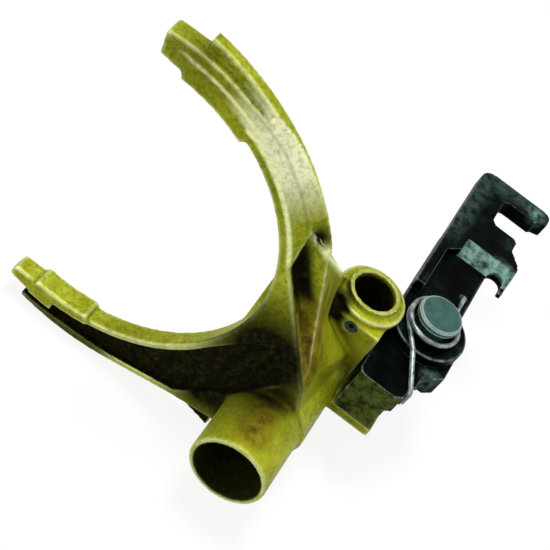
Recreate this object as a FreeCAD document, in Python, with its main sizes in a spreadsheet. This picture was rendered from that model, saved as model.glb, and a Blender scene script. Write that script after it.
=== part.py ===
import FreeCAD, Part
import math
import os
import re
import Sketcher
from FreeCAD import Placement, Rotation, Vector

# Shift fork for a gearbox rail, all lengths in millimetres and all angles in degrees.
# X runs along the rail towards the plain tube, Y runs from the fork mouth to the selector
# lever, and Z runs up the axis of the lever pivot. The origin is on the rail axis, in the
# middle plane of the fork arms.

document = FreeCAD.newDocument("shift_fork")

# Driving dimensions
SIZES = [
    # Rail bore, hub and machined tube
    ("rail_radius", 8.0, "bore that slides on the rail"),
    ("tube_radius", 9.2, "machined tube in front of the fork"),
    ("tube_length", 17.0, "tube from the collar to its open end"),
    ("hub_radius", 10.0, "cast hub round the rail"),
    ("hub_back", 41.0, "hub end behind the fork plane"),
    ("end_chamfer", 0.6, "edge break of the tube and hub ends"),
    ("overlap", 1.0, "joined solids and cuts reach this far past a surface"),
    # Fork arms
    ("fork_thickness", 5.0, "arms along the rail"),
    ("mouth_radius", 38.0, "inner edge of the arms"),
    ("mouth_reach", 53.4, "mouth centre from the rail, across"),
    ("mouth_rise", 28.2, "mouth centre from the rail, up"),
    ("arm_radius", 46.5, "outer edge of the upper arm"),
    ("upper_tip", 97.0, "end of the upper arm round the mouth"),
    ("lower_tip", 107.0, "end of the lower arm round the mouth"),
    ("flange_setback", 10.0, "outer flange of the upper arm starts this far from the tip"),
    ("lower_setback", 7.0, "outer flange of the lower arm starts this far from the tip"),
    ("hub_overlap", 2.0, "root of the arms reaches this far into the hub"),
    ("keel_near", 20.0, "first turn of the lower edge beside the rail axis"),
    ("keel_near_drop", 12.2, "first turn of the lower edge below the rail axis"),
    ("keel_far", 36.7, "second turn of the lower edge beside the rail axis"),
    ("keel_far_drop", 16.0, "second turn of the lower edge below the rail axis"),
    ("keel_radius", 45.5, "lower edge of the lower arm round the mouth"),
    ("keel_angle", 88.0, "where that edge is measured round the mouth"),
    ("tip_radius", 44.6, "outer edge of the upper tip"),
    ("lower_tip_radius", 42.4, "outer edge of the lower tip"),
    ("lower_flange_radius", 44.8, "outer edge of the lower arm at its tip"),
    ("shoulder_angle", 24.5, "outer edge of the upper arm ends here"),
    ("shoulder_radius", 47.9, "outer edge of the upper arm where it ends"),
    ("shoulder_side", 15.8, "inner corner of the shoulder beside the rail axis"),
    ("shoulder_rise", 52.3, "inner corner of the shoulder above the rail axis"),
    ("flange_radius", 47.5, "outer edge of the upper arm near its tip"),
    ("arm_waist", 58.0, "upper arm is narrowest here round the mouth"),
    ("tip_relief", 0.9, "inner edge of each tip is cut back this far"),
    ("tip_length", 8.5, "arc of each tip beyond its shoe"),
    ("ridge_side", 15.0, "straight ridge starts beside the rail axis"),
    ("ridge_rise", 42.0, "straight ridge starts above the rail axis"),
    ("ridge_foot_side", 2.5, "ridge meets the hub beside the rail axis"),
    ("ridge_foot_rise", 15.2, "ridge meets the hub above the rail axis"),
    ("rim_radius", 40.3, "front rim of the upper arm ends here"),
    ("flank_crest", 43.9, "flank turns steeper here"),
    ("flank_ease", 1.4, "flank has sloped back this far at its turn"),
    ("flank_drop", 6.1, "flank has sloped back this far outside the arm"),
    ("flank_reach", 49.5, "sloped cut of the flank ends outside the arm"),
    ("flank_start", 18.5, "flank starts here round the mouth"),
    ("flank_end", 56.0, "full slope of the flank ends here round the mouth"),
    ("flank_fade", 72.0, "flank has faded into the outer flange here"),
    # Wear shoes
    ("shoe_radius", 36.9, "inner face of both shoes"),
    ("shoe_depth", 5.2, "radial height of the shoes"),
    ("shoe_proud", 0.45, "shoe faces stand this far beyond the arms"),
    ("upper_shoe_span", 34.0, "arc of the upper shoe"),
    ("lower_shoe_span", 30.0, "arc of the lower shoe"),
    # Rims and webs of the arms
    ("rim_width", 1.6, "raised rim of the lower arm along the mouth"),
    ("web_depth", 2.0, "web lies this far behind the rims"),
    ("web_start", 30.0, "web starts here round the mouth"),
    ("web_end", 90.0, "web ends here round the mouth"),
    ("web_corner_side", 13.0, "upper corner of the web beside the rail axis"),
    ("web_corner_rise", 17.0, "upper corner of the web above the rail axis"),
    ("web_peak_side", 6.0, "top of the web beside the rail axis"),
    ("web_peak_rise", 22.5, "top of the web above the rail axis"),
    ("web_hub_rise", 3.0, "near corner of the web above the hub"),
    ("flange_width", 1.8, "raised outer flange of the lower arm"),
    ("step_depth", 1.8, "outer flange of the upper arm lies this far back"),
    ("step_radius", 44.5, "inner edge of that step"),
    ("groove_depth", 2.0, "groove between lower shoe and outer flange"),
    ("groove_width", 1.5, "width of that groove"),
    ("groove_radius", 41.9, "inner edge of that groove"),
    # Rib, gusset and foot behind the arms
    ("rib_thickness", 2.4, "rib from the upper arm to the boss flange"),
    ("rib_side", 15.6, "rib beside the rail axis at the arm"),
    ("rib_rise", 51.3, "top of the rib at the arm"),
    ("rib_end_side", 4.5, "rib beside the rail axis at the boss"),
    ("gusset_side", 16.0, "gusset beside the rail axis at the arm"),
    ("gusset_rise", 50.6, "top of the gusset at the arm"),
    ("gusset_end_side", 5.9, "gusset beside the rail axis at the boss"),
    ("gusset_end_rise", 20.4, "top of the gusset at the boss"),
    ("gusset_crest", 5.6, "width of the gusset's top at the arm"),
    ("gusset_slant", 2.0, "fall of the gusset's top across that width"),
    ("gusset_turn_side", 3.8, "gusset's front turns flatter beside the rail axis"),
    ("gusset_turn_rise", 31.1, "gusset's front turns flatter above the rail axis"),
    ("gusset_inset", 1.4, "gusset behind the flat side of the column"),
    ("gusset_low", 9.0, "low side of the gusset above the rail axis, at the boss"),
    ("foot_depth", 3.0, "foot under the root of the lower arm, along the rail"),
    ("foot_near", 9.2, "near side of the foot from the rail axis"),
    ("foot_far", 17.6, "far side of the foot from the rail axis"),
    ("foot_low", 16.4, "lowest edge of the foot below the rail axis"),
    ("foot_rise", 14.2, "far edge of the foot below the rail axis"),
    # Detent boss beside the hub
    ("boss_back", 28.7, "boss axis behind the fork plane"),
    ("boss_side", 3.2, "boss axis beside the rail axis"),
    ("boss_top", 22.5, "top face of the boss ring"),
    ("boss_ring_radius", 6.4, "outside of the boss ring"),
    ("boss_ring_height", 1.4, "ring above the boss flange"),
    ("boss_bore_radius", 5.2, "detent bore"),
    ("boss_flange_radius", 8.5, "flange round the boss"),
    ("boss_flange_height", 1.7, "thickness of the boss flange"),
    ("column_radius", 6.9, "cast column that carries the boss"),
    ("column_front", 19.6, "front face of the column behind the fork plane"),
    ("column_block", 2.0, "flat side of the column ends this far behind the boss axis"),
    ("column_side", 10.1, "flat side of the column towards the lever"),
    # Cross pin in the boss
    ("cross_pin_radius", 1.5, "spring pin"),
    ("cross_pin_bore", 0.7, "bore of the rolled pin"),
    ("cross_pin_length", 3.2, "length of the pin"),
    ("cross_pin_gap", 0.5, "slot along the pin"),
    ("cross_pin_drop", 4.9, "pin axis below the boss top"),
    ("cross_pin_inset", 0.35, "pin end behind the column face"),
    # Lever pivot
    ("pivot_back", 36.0, "pivot axis behind the fork plane"),
    ("pivot_side", 18.7, "pivot axis beside the rail axis"),
    ("pivot_boss_radius", 6.6, "cast boss under the bracket"),
    ("pin_head_radius", 5.5, "flat head of the pivot pin"),
    ("pin_head_height", 1.8, "thickness of that head"),
    ("pin_shank_radius", 4.0, "shank through lever and spring"),
    ("pin_tail_radius", 3.2, "tail riveted through bracket and shelf"),
    ("running_gap", 0.05, "radial clearance of the lever on the pin"),
    # Shelf of the casting
    ("shelf_front", 14.2, "front edge of the shelf behind the fork plane"),
    ("shelf_root", 6.0, "shelf starts inside the hub, beside the rail axis"),
    ("shelf_side", 21.6, "shelf edge beside the rail axis"),
    ("shelf_thickness", 2.6, "thickness of the shelf"),
    # Bracket
    ("bracket_base", 8.0, "underside of the bracket plate"),
    ("bracket_thickness", 6.0, "bracket plate"),
    ("bracket_gap", 0.3, "bracket stands this far off the column"),
    ("bracket_width", 12.6, "narrow front end of the bracket"),
    ("bracket_shoulder", 10.0, "wide part starts this far before the pivot"),
    ("bracket_radius", 9.3, "round end about the pivot"),
    ("bracket_corner", 2.0, "rounded and cut corners of the bracket"),
    ("bracket_ease", 0.6, "narrow end widens this far before the shoulder"),
    ("apron_inset", 0.4, "apron stands this far inside the edges over it"),
    ("apron_thickness", 3.2, "front wall that stands on the shelf"),
    ("hook_notch", 1.3, "corner cut at the spring's hook"),
    ("hook_step", 0.9, "depth of the step that holds the spring"),
    ("hook_play", 0.4, "step clears the spring hook by this"),
    ("hook_run", 18.4, "spring hook from the pivot, along the rail"),
    # Lever
    ("lever_seat", 0.1, "play between bracket and lever"),
    ("eye_thickness", 3.1, "thin end of the lever round the pivot"),
    ("eye_radius", 9.4, "round end of the lever"),
    ("lever_top", 20.0, "upper face of the jaws"),
    ("lever_thickness", 4.4, "thickness at the jaws"),
    ("lever_left", 9.6, "straight edge beside the rail axis"),
    ("lever_waist", 24.0, "other edge beside the rail axis"),
    ("rim_end", 7.4, "raised rim ends this far from the pivot"),
    ("rim_left_width", 2.5, "raised rim along the straight edge"),
    ("jaw_reach", 30.6, "tip of the upper jaw beside the rail axis"),
    ("lever_corner", 3.0, "rounded corner at the far end"),
    ("jaw_corner", 2.0, "rounded tip of the upper jaw"),
    ("jaw_bevel", 1.8, "lead-in of the upper jaw along the lever"),
    ("jaw_lead", 3.0, "lead-in of the upper jaw across the lever"),
    ("slot_corner", 2.0, "rounded bottom corners of the finger slot"),
    ("slot_depth", 12.6, "depth of the finger slot"),
    ("slot_width", 10.6, "width of the finger slot"),
    ("joggle_run", 28.2, "notch before the jaws starts this far from the pivot"),
    ("joggle_corner", 3.0, "ramp starts this far inside the raised rim"),
    ("ramp_start", 2.4, "ramp up to the jaws starts this far before the notch"),
    ("ramp_run", 4.7, "length of the ramp along the lever"),
    ("slot_run", 46.6, "middle of the finger slot from the pivot"),
    ("tooth_run", 37.0, "step behind the middle tooth from the pivot"),
    ("lever_run", 58.0, "far end from the pivot"),
    ("tooth_side", 26.0, "middle tooth beside the rail axis"),
    ("tooth_corner", 1.0, "cut corner of the middle tooth"),
    ("tooth_slope", 5.0, "slope from the middle tooth to the lower jaw"),
    ("tooth_ease", 0.6, "that slope eases off this far below the jaw"),
    ("lip_width", 2.0, "lip beside the round notch"),
    ("lower_jaw_side", 29.6, "lower jaw beside the rail axis"),
    ("notch_radius", 2.2, "small round notch in the lower jaw"),
    # Torsion spring
    ("wire_gap", 0.1, "play between the wire and the bracket"),
    ("head_gap", 0.2, "play between the coil and the pin head"),
    ("head_chamfer", 0.4, "edge break of the pin head"),
    ("wire_radius", 0.6, "spring wire"),
    ("coil_radius", 6.3, "mean radius of the coil"),
    ("coil_turns", 1.4225, "turns of the coil"),
    ("coil_pitch", 1.35, "rise of one turn"),
    ("coil_lift", 0.1, "coil above the lever"),
    ("hook_drop", 4.2, "long leg turns down this far at the bracket"),
    ("tang_run", 14.6, "short leg turns down this far from the pivot"),
    ("tang_side", 3.2, "short leg beside the pivot"),
    ("tang_drop", 3.2, "short leg goes down this far into the lever"),
    ("tang_hole_radius", 0.8, "hole of the lever for the short leg"),
]

sheet = document.addObject("Spreadsheet::Sheet", "sizes")
for row, (alias, value, meaning) in enumerate(SIZES, start=1):
    sheet.set(f"A{row}", alias)
    sheet.set(f"B{row}", str(value))
    sheet.set(f"C{row}", meaning)
    sheet.setAlias(f"B{row}", alias)
document.recompute()

ALIASES = {alias for alias, value, meaning in SIZES}


def cells(text):
    """Write an expression with the sheet's name before each alias in it."""
    return re.sub(r"[a-z_]+", lambda word: "sizes." * (word.group() in ALIASES) + word.group(), text)


def value_of(text):
    """Work out an expression from the sheet as a plain number."""
    result = sheet.evalExpression(text)
    return float(getattr(result, "Value", result))


def bind(item, **expressions):
    """Tie properties of an object to expressions on the sheet."""
    for name, text in expressions.items():
        item.setExpression(name, cells(text))


def place(item, x="0", y="0", z="0"):
    """Tie the position of a primitive to expressions on the sheet."""
    for axis, text in (("x", x), ("y", y), ("z", z)):
        item.setExpression(f"Placement.Base.{axis}", cells(text))


def on_mouth(radius, angle):
    """Point at a radius and an angle round the mouth centre, as two expressions."""
    turn = f"(({angle}) * 1deg)"
    return f"(({radius}) * cos{turn} - mouth_reach)", f"(({radius}) * sin{turn} + mouth_rise)"


def about(centre, radius, angle):
    """Point at a radius and an angle about a centre given as two expressions."""
    turn = f"(({angle}) * 1deg)"
    return f"({centre[0]} + ({radius}) * cos{turn})", f"({centre[1]} + ({radius}) * sin{turn})"


# Sketch and feature helpers

def new_body(name):
    body = document.addObject("PartDesign::Body", name)
    body.Label = name
    return body


def new_sketch(body, name, plane, offset="0"):
    sketch = body.newObject("Sketcher::SketchObject", name)
    role = f"{plane}_Plane"
    support = [item for item in body.Origin.OriginFeatures if item.Role == role][0]
    sketch.AttachmentSupport = (support, [""])
    sketch.MapMode = "FlatFace"
    sketch.setExpression("AttachmentOffset.Base.z", cells(offset))
    return sketch


def new_radial_sketch(body, name, turn):
    """Sketch whose x axis is the axis of the mouth and whose y axis points out at an angle."""
    sketch = new_sketch(body, name, "XY", "mouth_rise")
    sketch.AttachmentOffset = Placement(Vector(), Rotation(Vector(1, 0, 0), value_of(turn)))
    sketch.setExpression("AttachmentOffset.Base.y", cells("-mouth_reach"))
    sketch.setExpression("AttachmentOffset.Base.z", cells("mouth_rise"))
    sketch.setExpression("AttachmentOffset.Rotation.Angle", cells(f"({turn}) * 1deg"))
    return sketch


def sweep_cut(body, sketch, turn):
    """Cut a radial sketch's shape away through an angle round the mouth."""
    feature = body.newObject("PartDesign::Groove", sketch.Name + "_turn")
    feature.Profile = sketch
    feature.ReferenceAxis = (sketch, ["H_Axis"])
    feature.setExpression("Angle", cells(f"({turn}) * 1deg"))
    return feature


def lock(sketch, geometry, corner, point):
    """Fix one corner of a sketch element at a point given as two expressions."""
    for kind, text in zip(("DistanceX", "DistanceY"), point):
        number = sketch.addConstraint(
            Sketcher.Constraint(kind, -1, 1, geometry, corner, value_of(text)))
        sketch.setExpression(f"Constraints[{number}]", cells(text))


def draw_circle(sketch, centre, radius):
    middle = Vector(*map(value_of, centre))
    circle = sketch.addGeometry(Part.Circle(middle, Vector(0, 0, 1), value_of(radius)))
    lock(sketch, circle, 3, centre)
    number = sketch.addConstraint(Sketcher.Constraint("Radius", circle, value_of(radius)))
    sketch.setExpression(f"Constraints[{number}]", cells(radius))


def draw_outline(sketch, start, *steps):
    """Closed outline: a step is an end point, or an end point with an arc's mid point."""
    elements = []
    last = start
    for step in steps:
        end, middle = step if isinstance(step[0], tuple) else (step, None)
        ends = [Vector(*map(value_of, point)) for point in (last, end)]
        if middle is None:
            shape = Part.LineSegment(*ends)
        else:
            shape = arc_through(ends[0], Vector(*map(value_of, middle)), ends[1])
        elements.append((sketch.addGeometry(shape), shape, ends, end))
        last = end
    for index, (geometry, shape, ends, end) in enumerate(elements):
        follower, next_shape, next_ends, _ = elements[(index + 1) % len(elements)]
        out = corner_at(sketch, geometry, ends[1])
        into = corner_at(sketch, follower, next_ends[0])
        sketch.addConstraint(Sketcher.Constraint("Coincident", geometry, out, follower, into))
        lock(sketch, geometry, out, end)
        if isinstance(shape, Part.ArcOfCircle):
            radius = sketch.Geometry[geometry].Radius
            sketch.addConstraint(Sketcher.Constraint("Radius", geometry, radius))


def arc_through(first, middle, last):
    """Arc through three points, always stored anticlockwise as a sketch keeps it."""
    circle = Part.Circle(first, middle, last)
    centre = circle.Center
    flat = Part.Circle(centre, Vector(0, 0, 1), circle.Radius)
    if (middle - first).cross(last - middle).z < 0:
        first, last = last, first
    angles = [math.atan2(point.y - centre.y, point.x - centre.x) for point in (first, last)]
    if angles[1] < angles[0]:
        angles[1] += 2 * math.pi
    return Part.ArcOfCircle(flat, *angles)


def corner_at(sketch, geometry, point):
    """Number of the element's end that lies at a point: 1 is its start and 2 its end."""
    start = sketch.Geometry[geometry].StartPoint
    end = sketch.Geometry[geometry].EndPoint
    return 1 if start.distanceToPoint(point) < end.distanceToPoint(point) else 2


def pad(body, sketch, length, midplane=False):
    feature = body.newObject("PartDesign::Pad", sketch.Name + "_pad")
    feature.Profile = sketch
    feature.Midplane = midplane
    bind(feature, Length=length)
    sketch.Visibility = False
    return feature


def pocket(body, sketch, length, reverse=False, midplane=False):
    """Cut a sketch's shape away. The volume must go down, or the pocket points away."""
    document.recompute()
    before = body.Shape.Volume
    feature = body.newObject("PartDesign::Pocket", sketch.Name + "_pocket")
    feature.Profile = sketch
    feature.Midplane = midplane
    feature.Reversed = reverse
    bind(feature, Length=length)
    document.recompute()
    if body.Shape.Volume >= before:
        raise ValueError(f"{feature.Name} cuts nothing")
    return feature


def turned(body, name, plane, axis, outline, groove=False):
    """Revolve an outline about one of its sketch's own axes."""
    sketch = new_sketch(body, name, plane)
    draw_outline(sketch, *outline)
    kind = "PartDesign::Groove" if groove else "PartDesign::Revolution"
    feature = body.newObject(kind, name + "_turn")
    feature.Profile = sketch
    feature.ReferenceAxis = (sketch, [axis])
    feature.Angle = 360
    return feature


# Casting: hub, tube, fork arms, detent boss and shelf in one piece of bronze

FORK_FACE = "fork_thickness / 2"
TUBE_END = f"{FORK_FACE} + tube_length"


def cast_hub(body):
    """Hub and machined tube, turned about the rail axis."""
    turned(body, "hub_profile", "XY", "H_Axis", [
        ("-hub_back", "0"),
        ("-hub_back", "hub_radius - end_chamfer"),
        ("-hub_back + end_chamfer", "hub_radius"),
        (f"{FORK_FACE} - end_chamfer", "hub_radius"),
        (FORK_FACE, "tube_radius"),
        (f"{TUBE_END} - end_chamfer / 2", "tube_radius"),
        (TUBE_END, "tube_radius - end_chamfer / 2"),
        (TUBE_END, "0"),
        ("-hub_back", "0"),
    ])


def cast_arms(body):
    """Both arms of the fork in one plate, with a step where each outer flange starts."""
    low = "-lower_tip"
    flange_low = "lower_setback - lower_tip"
    flange_high = "upper_tip - flange_setback"
    relieved = "mouth_radius + tip_relief"
    sketch = new_sketch(body, "arms", "YZ")
    draw_outline(
        sketch,
        on_mouth(relieved, "upper_tip"),
        on_mouth("tip_radius", "upper_tip"),
        (on_mouth("tip_radius", flange_high), on_mouth("tip_radius", "upper_tip - flange_setback / 2")),
        on_mouth("flange_radius", flange_high),
        (on_mouth("shoulder_radius", "shoulder_angle"), on_mouth("arm_radius", "arm_waist")),
        ("-shoulder_side", "shoulder_rise"),
        ("-ridge_side", "ridge_rise"),
        ("ridge_foot_side", "ridge_foot_rise"),
        ("hub_radius - hub_overlap", "0"),
        ("0", "hub_overlap / 2 - hub_radius"),
        ("-keel_near", "-keel_near_drop"),
        ("-keel_far", "-keel_far_drop"),
        (on_mouth("lower_flange_radius", flange_low), on_mouth("keel_radius", "-keel_angle")),
        on_mouth("lower_tip_radius", flange_low),
        on_mouth("lower_tip_radius", low),
        on_mouth(relieved, low),
        on_mouth("mouth_radius", "tip_length - lower_tip"),
        (on_mouth("mouth_radius", "upper_tip - tip_length"),
         on_mouth("mouth_radius", "(upper_tip - lower_tip) / 2")),
        on_mouth(relieved, "upper_tip"),
    )
    pad(body, sketch, "fork_thickness", midplane=True)


def slope_flank(body):
    """Slope the upper arm back in two facets, fading out towards the tip."""
    above = f"{FORK_FACE} + overlap"
    beyond = "flank_reach"
    rim = (FORK_FACE, "rim_radius")
    turn = (f"{FORK_FACE} - flank_ease", "flank_crest")
    end = (f"{FORK_FACE} - flank_drop", beyond)
    start = new_radial_sketch(body, "flank_low", "flank_start")
    draw_outline(start, rim, (above, "rim_radius"), (above, beyond), end, turn, rim)
    sweep_cut(body, start, "flank_end - flank_start")
    wide = new_radial_sketch(body, "flank_wide", "flank_end")
    draw_outline(wide, rim, (above, "rim_radius"), (above, beyond), end, turn, rim)
    narrow = new_radial_sketch(body, "flank_narrow", "flank_fade")
    edge = (FORK_FACE, "step_radius")
    high = (f"{FORK_FACE} - flank_ease / 4", "arm_radius")
    low_end = (f"{FORK_FACE} - flank_drop / 4", beyond)
    draw_outline(narrow, edge, (above, "step_radius"), (above, beyond), low_end, high, edge)
    fade = body.newObject("PartDesign::SubtractiveLoft", "flank_fade_loft")
    fade.Profile = wide
    fade.Sections = [narrow]
    fade.Ruled = True


def sweep_recess(body, name, inner, outer, depth, start, sweep):
    """Recess in the front face between two radii, swept round the mouth."""
    sketch = new_radial_sketch(body, name, start)
    box_outline(sketch, (f"{FORK_FACE} - {depth}", inner), (f"{FORK_FACE} + overlap", outer))
    sweep_cut(body, sketch, sweep)


def cast_shoe(body, name, start, end):
    """Machined wear shoe on the inner side of an arm's tip."""
    middle = f"(({start}) + ({end})) / 2"
    sketch = new_sketch(body, name, "YZ")
    top = "shoe_radius + shoe_depth"
    draw_outline(
        sketch,
        on_mouth("shoe_radius", start),
        on_mouth(top, start),
        (on_mouth(top, end), on_mouth(top, middle)),
        (on_mouth("shoe_radius", end)),
        (on_mouth("shoe_radius", start), on_mouth("shoe_radius", middle)),
    )
    pad(body, sketch, "fork_thickness + 2 * shoe_proud", midplane=True)


def box_outline(sketch, low, high):
    """Rectangle between two opposite corners."""
    draw_outline(sketch, low, (high[0], low[1]), high, (low[0], high[1]), low)


def loft_between(body, name, front, back):
    loft = body.newObject("PartDesign::AdditiveLoft", name)
    loft.Profile = front
    loft.Sections = [back]
    loft.Ruled = True


def cast_gusset(body):
    """Tapered wall that ties the root of the arms to the boss column."""
    front = new_sketch(body, "gusset_front", "YZ", "-fork_thickness / 4")
    draw_outline(
        front,
        ("-gusset_side", "gusset_rise"),
        ("gusset_crest - gusset_side", "gusset_rise - gusset_slant"),
        ("-gusset_turn_side", "gusset_turn_rise"),
        ("ridge_foot_side", "ridge_foot_rise - overlap"),
        ("hub_radius - hub_overlap", "overlap"),
        ("-gusset_side", "hub_radius / 2"),
        ("-gusset_side", "gusset_rise"),
    )
    back = new_sketch(body, "gusset_back", "YZ", "-boss_back")
    outer = "column_side - gusset_inset"
    draw_outline(
        back,
        ("-gusset_end_side", "gusset_end_rise"),
        ("gusset_slant - gusset_end_side", "gusset_end_rise"),
        ("-overlap", "gusset_low"),
        (outer, "gusset_low"),
        (outer, "0"),
        ("-gusset_end_side", "0"),
        ("-gusset_end_side", "gusset_end_rise"),
    )
    loft_between(body, "gusset_loft", front, back)


def cast_rib(body):
    """Thin rib that runs down from the outer edge of the upper arm to the boss flange."""
    flange_underside = "boss_top - boss_ring_height - boss_flange_height"
    front = new_sketch(body, "rib_front", "YZ", "-overlap")
    box_outline(front, ("-rib_side - rib_thickness / 2", "hub_radius / 2"),
                ("rib_thickness / 2 - rib_side", "rib_rise"))
    back = new_sketch(body, "rib_back", "YZ", "-boss_back")
    box_outline(back, ("-rib_end_side - rib_thickness / 2", "hub_radius / 2"),
                ("rib_thickness / 2 - rib_end_side", f"{flange_underside} + overlap"))
    loft_between(body, "rib_loft", front, back)


def cast_foot(body):
    """Small foot under the root of the lower arm."""
    foot = new_sketch(body, "foot", "YZ", f"-foot_depth")
    draw_outline(foot, ("-foot_far", "-foot_rise"), ("-foot_near", "-foot_low"), ("-foot_near", "0"),
                 ("-foot_far", "0"), ("-foot_far", "-foot_rise"))
    pad(body, foot, "foot_depth")


def cast_boss(body):
    """Column, flange and machined ring of the detent boss."""
    axis = ("-boss_back", "boss_side")
    column_height = "boss_top - boss_ring_height - boss_flange_height"
    column = new_sketch(body, "column", "XY")
    draw_circle(column, axis, "column_radius")
    pad(body, column, column_height)
    block = new_sketch(body, "column_block", "XY")
    left = "boss_side - column_radius - overlap"
    draw_outline(
        block,
        ("-column_front", left),
        ("-column_front", "column_side"),
        ("-boss_back - column_block", "column_side"),
        ("-boss_back - column_block", left),
        ("-column_front", left),
    )
    pad(body, block, column_height)
    flange = new_sketch(body, "boss_flange", "XY", column_height)
    draw_circle(flange, axis, "boss_flange_radius")
    pad(body, flange, "boss_flange_height")
    ring = new_sketch(body, "boss_ring", "XY", f"{column_height} + boss_flange_height / 2")
    draw_circle(ring, axis, "boss_ring_radius")
    pad(body, ring, "boss_ring_height + boss_flange_height / 2")


def cast_shelf(body):
    """Shelf beside the hub with the round boss that carries the bracket."""
    shelf = new_sketch(body, "shelf", "XY", "-shelf_thickness")
    draw_outline(
        shelf,
        ("-shelf_front", "shelf_root"),
        ("-shelf_front", "shelf_side"),
        ("-pivot_back", "shelf_side"),
        ("-pivot_back", "shelf_root"),
        ("-shelf_front", "shelf_root"),
    )
    pad(body, shelf, "shelf_thickness")
    boss = new_sketch(body, "pivot_boss", "XY", "-shelf_thickness")
    draw_circle(boss, ("-pivot_back", "pivot_side"), "pivot_boss_radius")
    pad(body, boss, "shelf_thickness + bracket_base")


def recess_arms(body):
    """Front web of the lower arm and of the root, cut back behind the rims."""
    rim = "mouth_radius + rim_width"
    edge = "lower_flange_radius - flange_width"
    lower = new_sketch(body, "lower_web", "YZ", f"{FORK_FACE} - web_depth")
    draw_outline(
        lower,
        on_mouth(rim, "-web_end"),
        (on_mouth(rim, "-web_start"), on_mouth(rim, "-(web_start + web_end) / 2")),
        ("-web_corner_side", "web_corner_rise"),
        ("-web_peak_side", "web_peak_rise"),
        ("-hub_overlap", "hub_radius + web_hub_rise"),
        ("-hub_radius", "0"),
        ("-keel_near", "flange_width - keel_near_drop"),
        ("-keel_far", "flange_width - keel_far_drop"),
        (on_mouth(edge, "-web_end"), on_mouth("keel_radius - flange_width", "-web_end * 0.9")),
        on_mouth(rim, "-web_end"),
    )
    pocket(body, lower, "web_depth + overlap", reverse=True)


def bore_casting(body):
    """Rail bore, detent bore, cross pin hole and pivot pin hole."""
    rail = new_sketch(body, "rail_bore", "YZ")
    draw_circle(rail, ("0", "0"), "rail_radius")
    pocket(body, rail, "4 * hub_back", midplane=True)
    detent = new_sketch(body, "detent_bore", "XY")
    draw_circle(detent, ("-boss_back", "boss_side"), "boss_bore_radius")
    pocket(body, detent, "boss_top + overlap", reverse=True)
    cross = new_sketch(body, "cross_hole", "YZ", "-boss_back")
    draw_circle(cross, ("boss_side", "boss_top - cross_pin_drop"), "cross_pin_radius")
    pocket(body, cross, "boss_back - column_front + 2 * overlap", reverse=True)
    pivot = new_sketch(body, "pivot_hole", "XY", "-shelf_thickness - overlap")
    draw_circle(pivot, ("-pivot_back", "pivot_side"), "pin_tail_radius")
    pocket(body, pivot, "shelf_thickness + bracket_base + 2 * overlap", reverse=True)


def make_casting():
    body = new_body("fork_casting")
    cast_hub(body)
    cast_arms(body)
    slope_flank(body)
    cast_shoe(body, "upper_shoe", "upper_tip - tip_length", "upper_tip - upper_shoe_span")
    cast_shoe(body, "lower_shoe", "tip_length - lower_tip", "lower_shoe_span - lower_tip")
    step_start = "(flank_end + flank_fade) / 2"
    sweep_recess(body, "upper_step", "step_radius", "flank_reach", "step_depth",
                 step_start, f"upper_tip - {step_start}")
    sweep_recess(body, "lower_groove", "groove_radius", "groove_radius + groove_width", "groove_depth",
                 "-lower_tip", "lower_shoe_span")
    cast_foot(body)
    cast_boss(body)
    cast_gusset(body)
    cast_rib(body)
    cast_shelf(body)
    recess_arms(body)
    bore_casting(body)
    return body


# Bracket: thick steel plate with a front wall that stands on the shelf

BRACKET_TOP = "bracket_base + bracket_thickness"
BRACKET_LEFT = "column_side + bracket_gap"
PIVOT = ("-pivot_back", "pivot_side")
ROUND = 0.3  # a rounded corner's arc passes its corner at this share of the radius


def make_bracket():
    body = new_body("selector_bracket")
    right = "pivot_side + bracket_radius"
    inner = f"{BRACKET_LEFT} + bracket_width"
    corner = "bracket_corner"
    hook_wall = "-pivot_back + hook_run - wire_radius - hook_play"
    shoulder = "bracket_shoulder - pivot_back"
    plate = new_sketch(body, "bracket_plate", "XY", "bracket_base")
    draw_outline(
        plate,
        (f"-shelf_front - {corner}", BRACKET_LEFT),
        (("-shelf_front", f"{BRACKET_LEFT} + {corner}"),
         (f"-shelf_front - {ROUND} * {corner}", f"{BRACKET_LEFT} + {ROUND} * {corner}")),
        ("-shelf_front", f"{inner} - 2 * hook_notch"),
        ("-shelf_front - hook_notch", f"{inner} - hook_step"),
        (hook_wall, f"{inner} - hook_step"),
        (hook_wall, inner),
        (f"{shoulder} + {corner}", f"{inner} + bracket_ease"),
        (shoulder, f"{inner} + 3 * bracket_ease"),
        (shoulder, f"{right} - {corner}"),
        (f"{shoulder} - {corner}", right),
        ("-pivot_back", right),
        (("-pivot_back - bracket_radius", "pivot_side"), about(PIVOT, "bracket_radius", "135")),
        (("-boss_back - column_block", BRACKET_LEFT), about(PIVOT, "bracket_radius", "225")),
        (f"-shelf_front - {corner}", BRACKET_LEFT),
    )
    pad(body, plate, "bracket_thickness")
    apron = new_sketch(body, "bracket_apron", "XY", "0")
    draw_outline(
        apron,
        ("-shelf_front - apron_inset", f"{BRACKET_LEFT} + apron_inset"),
        ("-shelf_front - apron_inset", "shelf_side - 2 * apron_inset"),
        ("-shelf_front - apron_thickness", "shelf_side - 2 * apron_inset"),
        ("-shelf_front - apron_thickness", f"{BRACKET_LEFT} + apron_inset"),
        ("-shelf_front - apron_inset", f"{BRACKET_LEFT} + apron_inset"),
    )
    pad(body, apron, "bracket_base + overlap")
    hole = new_sketch(body, "bracket_hole", "XY", "bracket_base - overlap")
    draw_circle(hole, PIVOT, "pin_tail_radius")
    pocket(body, hole, "bracket_thickness + 2 * overlap", reverse=True)
    return body


# Lever: steel plate with a thin round eye, a joggle and two jaws round the finger slot

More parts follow.
